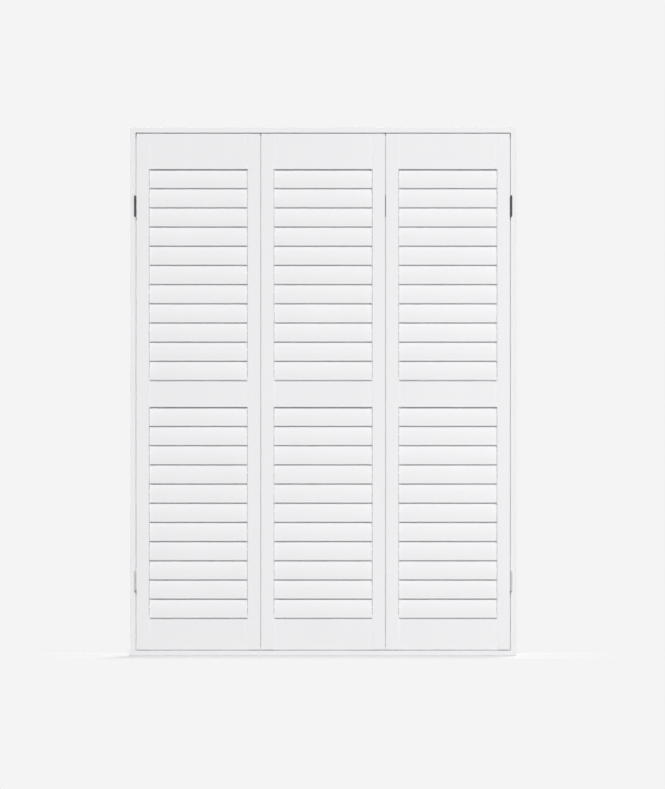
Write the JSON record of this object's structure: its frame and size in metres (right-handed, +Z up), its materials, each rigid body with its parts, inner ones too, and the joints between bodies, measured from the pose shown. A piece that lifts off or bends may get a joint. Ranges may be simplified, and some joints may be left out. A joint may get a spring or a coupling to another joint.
{
  "type": "louvred shutters",
  "caption": "White louvred window shutters in a face-fixed frame, with a swinging panel, a folding pair and louvres that tilt together.",
  "frame": {"origin": "centre of the frame's back plane, midway between its four outer fixing holes", "axes": "+X to the right seen from the front, +Y from the front towards the wall, +Z up"},
  "size_m": [1.527, 0.0533, 2.092],
  "materials": {
    "frame_paint": "white satin paint",
    "panel_paint": "white satin paint",
    "louvre_paint": "white satin paint",
    "white_hinge": "white enamel",
    "dark_hinge": "dark grey satin",
    "bar_paint": "white enamel"
  },
  "bodies": {
    "frame": {"frame_head": "frame_paint", "frame_sill": "frame_paint", "frame_left_jamb": "frame_paint", "frame_right_jamb": "frame_paint", "upper_jamb_hinge_leaves": "dark_hinge", "lower_jamb_hinge_leaves": "white_hinge", "upper_hinge_pins": "dark_hinge", "lower_hinge_pins": "white_hinge"},
    "left_panel": {"left_panel_stiles": "panel_paint", "left_panel_rails": "panel_paint", "left_lower_louvres": "louvre_paint", "left_upper_hinge_leaf": "dark_hinge", "left_lower_hinge_leaf": "white_hinge"},
    "right_panel": {"right_panel_stiles": "panel_paint", "right_panel_rails": "panel_paint", "right_lower_louvres": "louvre_paint", "right_upper_hinge_leaf": "dark_hinge", "right_lower_hinge_leaf": "white_hinge", "right_fold_hinge_leaves": "white_hinge", "fold_hinge_pins": "white_hinge"},
    "middle_panel": {"middle_panel_stiles": "panel_paint", "middle_panel_rails": "panel_paint", "middle_lower_louvres": "louvre_paint", "middle_fold_hinge_leaves": "white_hinge"},
    "left_louvre_01": {"left_louvre_01": "louvre_paint"},
    "left_louvre_02": {"left_louvre_02": "louvre_paint"},
    "left_louvre_03": {"left_louvre_03": "louvre_paint"},
    "left_louvre_04": {"left_louvre_04": "louvre_paint"},
    "left_louvre_05": {"left_louvre_05": "louvre_paint"},
    "left_louvre_06": {"left_louvre_06": "louvre_paint"},
    "left_louvre_07": {"left_louvre_07": "louvre_paint"},
    "left_louvre_08": {"left_louvre_08": "louvre_paint"},
    "left_louvre_09": {"left_louvre_09": "louvre_paint"},
    "left_louvre_10": {"left_louvre_10": "louvre_paint"},
    "left_louvre_11": {"left_louvre_11": "louvre_paint"},
    "left_tilt_bar": {"left_tilt_bar": "bar_paint"},
    "middle_louvre_01": {"middle_louvre_01": "louvre_paint"},
    "middle_louvre_02": {"middle_louvre_02": "louvre_paint"},
    "middle_louvre_03": {"middle_louvre_03": "louvre_paint"},
    "middle_louvre_04": {"middle_louvre_04": "louvre_paint"},
    "middle_louvre_05": {"middle_louvre_05": "louvre_paint"},
    "middle_louvre_06": {"middle_louvre_06": "louvre_paint"},
    "middle_louvre_07": {"middle_louvre_07": "louvre_paint"},
    "middle_louvre_08": {"middle_louvre_08": "louvre_paint"},
    "middle_louvre_09": {"middle_louvre_09": "louvre_paint"},
    "middle_louvre_10": {"middle_louvre_10": "louvre_paint"},
    "middle_louvre_11": {"middle_louvre_11": "louvre_paint"},
    "middle_tilt_bar": {"middle_tilt_bar": "bar_paint"},
    "right_louvre_01": {"right_louvre_01": "louvre_paint"},
    "right_louvre_02": {"right_louvre_02": "louvre_paint"},
    "right_louvre_03": {"right_louvre_03": "louvre_paint"},
    "right_louvre_04": {"right_louvre_04": "louvre_paint"},
    "right_louvre_05": {"right_louvre_05": "louvre_paint"},
    "right_louvre_06": {"right_louvre_06": "louvre_paint"},
    "right_louvre_07": {"right_louvre_07": "louvre_paint"},
    "right_louvre_08": {"right_louvre_08": "louvre_paint"},
    "right_louvre_09": {"right_louvre_09": "louvre_paint"},
    "right_louvre_10": {"right_louvre_10": "louvre_paint"},
    "right_louvre_11": {"right_louvre_11": "louvre_paint"},
    "right_tilt_bar": {"right_tilt_bar": "bar_paint"}
  },
  "joints": [
    {"name": "left_panel_swing", "type": "hinge", "parent": "frame", "child": "left_panel", "pos_m": [-0.7455, -0.0498, 0], "axis": [0, 0, -1], "range_deg": [0, 170]},
    {"name": "right_panel_swing", "type": "hinge", "parent": "frame", "child": "right_panel", "pos_m": [0.7455, -0.0498, 0], "axis": [0, 0, 1], "range_deg": [0, 80]},
    {"name": "middle_panel_fold", "type": "hinge", "parent": "right_panel", "child": "middle_panel", "pos_m": [0.247, -0.0152, 0], "axis": [0, 0, -1], "range_deg": [0, 160]},
    {"name": "left_louvre_01_tilt", "type": "hinge", "parent": "left_panel", "child": "left_louvre_01", "pos_m": [-0.494, -0.0325, 0.8492], "axis": [-1, 0, 0], "range_deg": [0, 145]},
    {"name": "left_louvre_02_tilt", "type": "hinge", "parent": "left_panel", "child": "left_louvre_02", "pos_m": [-0.494, -0.0325, 0.7732], "axis": [-1, 0, 0], "range_deg": [0, 145]},
    {"name": "left_louvre_03_tilt", "type": "hinge", "parent": "left_panel", "child": "left_louvre_03", "pos_m": [-0.494, -0.0325, 0.6972], "axis": [-1, 0, 0], "range_deg": [0, 145]},
    {"name": "left_louvre_04_tilt", "type": "hinge", "parent": "left_panel", "child": "left_louvre_04", "pos_m": [-0.494, -0.0325, 0.6212], "axis": [-1, 0, 0], "range_deg": [0, 145]},
    {"name": "left_louvre_05_tilt", "type": "hinge", "parent": "left_panel", "child": "left_louvre_05", "pos_m": [-0.494, -0.0325, 0.5452], "axis": [-1, 0, 0], "range_deg": [0, 145]},
    {"name": "left_louvre_06_tilt", "type": "hinge", "parent": "left_panel", "child": "left_louvre_06", "pos_m": [-0.494, -0.0325, 0.4692], "axis": [-1, 0, 0], "range_deg": [0, 145]},
    {"name": "left_louvre_07_tilt", "type": "hinge", "parent": "left_panel", "child": "left_louvre_07", "pos_m": [-0.494, -0.0325, 0.3932], "axis": [-1, 0, 0], "range_deg": [0, 145]},
    {"name": "left_louvre_08_tilt", "type": "hinge", "parent": "left_panel", "child": "left_louvre_08", "pos_m": [-0.494, -0.0325, 0.3172], "axis": [-1, 0, 0], "range_deg": [0, 145]},
    {"name": "left_louvre_09_tilt", "type": "hinge", "parent": "left_panel", "child": "left_louvre_09", "pos_m": [-0.494, -0.0325, 0.2412], "axis": [-1, 0, 0], "range_deg": [0, 145]},
    {"name": "left_louvre_10_tilt", "type": "hinge", "parent": "left_panel", "child": "left_louvre_10", "pos_m": [-0.494, -0.0325, 0.1652], "axis": [-1, 0, 0], "range_deg": [0, 145]},
    {"name": "left_louvre_11_tilt", "type": "hinge", "parent": "left_panel", "child": "left_louvre_11", "pos_m": [-0.494, -0.0325, 0.0892], "axis": [-1, 0, 0], "range_deg": [0, 145]},
    {"name": "left_tilt_bar_link", "type": "hinge", "parent": "left_louvre_01", "child": "left_tilt_bar", "pos_m": [-0.665, -0.02543, 0.8968], "axis": [-1, 0, 0], "range_deg": [-145, 0]},
    {"name": "middle_louvre_01_tilt", "type": "hinge", "parent": "middle_panel", "child": "middle_louvre_01", "pos_m": [0, -0.0325, 0.8492], "axis": [-1, 0, 0], "range_deg": [0, 145]},
    {"name": "middle_louvre_02_tilt", "type": "hinge", "parent": "middle_panel", "child": "middle_louvre_02", "pos_m": [0, -0.0325, 0.7732], "axis": [-1, 0, 0], "range_deg": [0, 145]},
    {"name": "middle_louvre_03_tilt", "type": "hinge", "parent": "middle_panel", "child": "middle_louvre_03", "pos_m": [0, -0.0325, 0.6972], "axis": [-1, 0, 0], "range_deg": [0, 145]},
    {"name": "middle_louvre_04_tilt", "type": "hinge", "parent": "middle_panel", "child": "middle_louvre_04", "pos_m": [0, -0.0325, 0.6212], "axis": [-1, 0, 0], "range_deg": [0, 145]},
    {"name": "middle_louvre_05_tilt", "type": "hinge", "parent": "middle_panel", "child": "middle_louvre_05", "pos_m": [0, -0.0325, 0.5452], "axis": [-1, 0, 0], "range_deg": [0, 145]},
    {"name": "middle_louvre_06_tilt", "type": "hinge", "parent": "middle_panel", "child": "middle_louvre_06", "pos_m": [0, -0.0325, 0.4692], "axis": [-1, 0, 0], "range_deg": [0, 145]},
    {"name": "middle_louvre_07_tilt", "type": "hinge", "parent": "middle_panel", "child": "middle_louvre_07", "pos_m": [0, -0.0325, 0.3932], "axis": [-1, 0, 0], "range_deg": [0, 145]},
    {"name": "middle_louvre_08_tilt", "type": "hinge", "parent": "middle_panel", "child": "middle_louvre_08", "pos_m": [0, -0.0325, 0.3172], "axis": [-1, 0, 0], "range_deg": [0, 145]},
    {"name": "middle_louvre_09_tilt", "type": "hinge", "parent": "middle_panel", "child": "middle_louvre_09", "pos_m": [0, -0.0325, 0.2412], "axis": [-1, 0, 0], "range_deg": [0, 145]},
    {"name": "middle_louvre_10_tilt", "type": "hinge", "parent": "middle_panel", "child": "middle_louvre_10", "pos_m": [0, -0.0325, 0.1652], "axis": [-1, 0, 0], "range_deg": [0, 145]},
    {"name": "middle_louvre_11_tilt", "type": "hinge", "parent": "middle_panel", "child": "middle_louvre_11", "pos_m": [0, -0.0325, 0.0892], "axis": [-1, 0, 0], "range_deg": [0, 145]},
    {"name": "middle_tilt_bar_link", "type": "hinge", "parent": "middle_louvre_01", "child": "middle_tilt_bar", "pos_m": [-0.171, -0.02543, 0.8968], "axis": [-1, 0, 0], "range_deg": [-145, 0]},
    {"name": "right_louvre_01_tilt", "type": "hinge", "parent": "right_panel", "child": "right_louvre_01", "pos_m": [0.494, -0.0325, 0.8492], "axis": [-1, 0, 0], "range_deg": [0, 145]},
    {"name": "right_louvre_02_tilt", "type": "hinge", "parent": "right_panel", "child": "right_louvre_02", "pos_m": [0.494, -0.0325, 0.7732], "axis": [-1, 0, 0], "range_deg": [0, 145]},
    {"name": "right_louvre_03_tilt", "type": "hinge", "parent": "right_panel", "child": "right_louvre_03", "pos_m": [0.494, -0.0325, 0.6972], "axis": [-1, 0, 0], "range_deg": [0, 145]},
    {"name": "right_louvre_04_tilt", "type": "hinge", "parent": "right_panel", "child": "right_louvre_04", "pos_m": [0.494, -0.0325, 0.6212], "axis": [-1, 0, 0], "range_deg": [0, 145]},
    {"name": "right_louvre_05_tilt", "type": "hinge", "parent": "right_panel", "child": "right_louvre_05", "pos_m": [0.494, -0.0325, 0.5452], "axis": [-1, 0, 0], "range_deg": [0, 145]},
    {"name": "right_louvre_06_tilt", "type": "hinge", "parent": "right_panel", "child": "right_louvre_06", "pos_m": [0.494, -0.0325, 0.4692], "axis": [-1, 0, 0], "range_deg": [0, 145]},
    {"name": "right_louvre_07_tilt", "type": "hinge", "parent": "right_panel", "child": "right_louvre_07", "pos_m": [0.494, -0.0325, 0.3932], "axis": [-1, 0, 0], "range_deg": [0, 145]},
    {"name": "right_louvre_08_tilt", "type": "hinge", "parent": "right_panel", "child": "right_louvre_08", "pos_m": [0.494, -0.0325, 0.3172], "axis": [-1, 0, 0], "range_deg": [0, 145]},
    {"name": "right_louvre_09_tilt", "type": "hinge", "parent": "right_panel", "child": "right_louvre_09", "pos_m": [0.494, -0.0325, 0.2412], "axis": [-1, 0, 0], "range_deg": [0, 145]},
    {"name": "right_louvre_10_tilt", "type": "hinge", "parent": "right_panel", "child": "right_louvre_10", "pos_m": [0.494, -0.0325, 0.1652], "axis": [-1, 0, 0], "range_deg": [0, 145]},
    {"name": "right_louvre_11_tilt", "type": "hinge", "parent": "right_panel", "child": "right_louvre_11", "pos_m": [0.494, -0.0325, 0.0892], "axis": [-1, 0, 0], "range_deg": [0, 145]},
    {"name": "right_tilt_bar_link", "type": "hinge", "parent": "right_louvre_01", "child": "right_tilt_bar", "pos_m": [0.665, -0.02543, 0.8968], "axis": [-1, 0, 0], "range_deg": [-145, 0]}
  ],
  "couplings": [
    {"joint": "middle_panel_fold", "follows": "right_panel_swing", "ratio": 2},
    {"joint": "left_louvre_02_tilt", "follows": "left_louvre_01_tilt", "ratio": 1},
    {"joint": "left_louvre_03_tilt", "follows": "left_louvre_01_tilt", "ratio": 1},
    {"joint": "left_louvre_04_tilt", "follows": "left_louvre_01_tilt", "ratio": 1},
    {"joint": "left_louvre_05_tilt", "follows": "left_louvre_01_tilt", "ratio": 1},
    {"joint": "left_louvre_06_tilt", "follows": "left_louvre_01_tilt", "ratio": 1},
    {"joint": "left_louvre_07_tilt", "follows": "left_louvre_01_tilt", "ratio": 1},
    {"joint": "left_louvre_08_tilt", "follows": "left_louvre_01_tilt", "ratio": 1},
    {"joint": "left_louvre_09_tilt", "follows": "left_louvre_01_tilt", "ratio": 1},
    {"joint": "left_louvre_10_tilt", "follows": "left_louvre_01_tilt", "ratio": 1},
    {"joint": "left_louvre_11_tilt", "follows": "left_louvre_01_tilt", "ratio": 1},
    {"joint": "left_tilt_bar_link", "follows": "left_louvre_01_tilt", "ratio": -1},
    {"joint": "middle_louvre_02_tilt", "follows": "middle_louvre_01_tilt", "ratio": 1},
    {"joint": "middle_louvre_03_tilt", "follows": "middle_louvre_01_tilt", "ratio": 1},
    {"joint": "middle_louvre_04_tilt", "follows": "middle_louvre_01_tilt", "ratio": 1},
    {"joint": "middle_louvre_05_tilt", "follows": "middle_louvre_01_tilt", "ratio": 1},
    {"joint": "middle_louvre_06_tilt", "follows": "middle_louvre_01_tilt", "ratio": 1},
    {"joint": "middle_louvre_07_tilt", "follows": "middle_louvre_01_tilt", "ratio": 1},
    {"joint": "middle_louvre_08_tilt", "follows": "middle_louvre_01_tilt", "ratio": 1},
    {"joint": "middle_louvre_09_tilt", "follows": "middle_louvre_01_tilt", "ratio": 1},
    {"joint": "middle_louvre_10_tilt", "follows": "middle_louvre_01_tilt", "ratio": 1},
    {"joint": "middle_louvre_11_tilt", "follows": "middle_louvre_01_tilt", "ratio": 1},
    {"joint": "middle_tilt_bar_link", "follows": "middle_louvre_01_tilt", "ratio": -1},
    {"joint": "right_louvre_02_tilt", "follows": "right_louvre_01_tilt", "ratio": 1},
    {"joint": "right_louvre_03_tilt", "follows": "right_louvre_01_tilt", "ratio": 1},
    {"joint": "right_louvre_04_tilt", "follows": "right_louvre_01_tilt", "ratio": 1},
    {"joint": "right_louvre_05_tilt", "follows": "right_louvre_01_tilt", "ratio": 1},
    {"joint": "right_louvre_06_tilt", "follows": "right_louvre_01_tilt", "ratio": 1},
    {"joint": "right_louvre_07_tilt", "follows": "right_louvre_01_tilt", "ratio": 1},
    {"joint": "right_louvre_08_tilt", "follows": "right_louvre_01_tilt", "ratio": 1},
    {"joint": "right_louvre_09_tilt", "follows": "right_louvre_01_tilt", "ratio": 1},
    {"joint": "right_louvre_10_tilt", "follows": "right_louvre_01_tilt", "ratio": 1},
    {"joint": "right_louvre_11_tilt", "follows": "right_louvre_01_tilt", "ratio": 1},
    {"joint": "right_tilt_bar_link", "follows": "right_louvre_01_tilt", "ratio": -1}
  ]
}
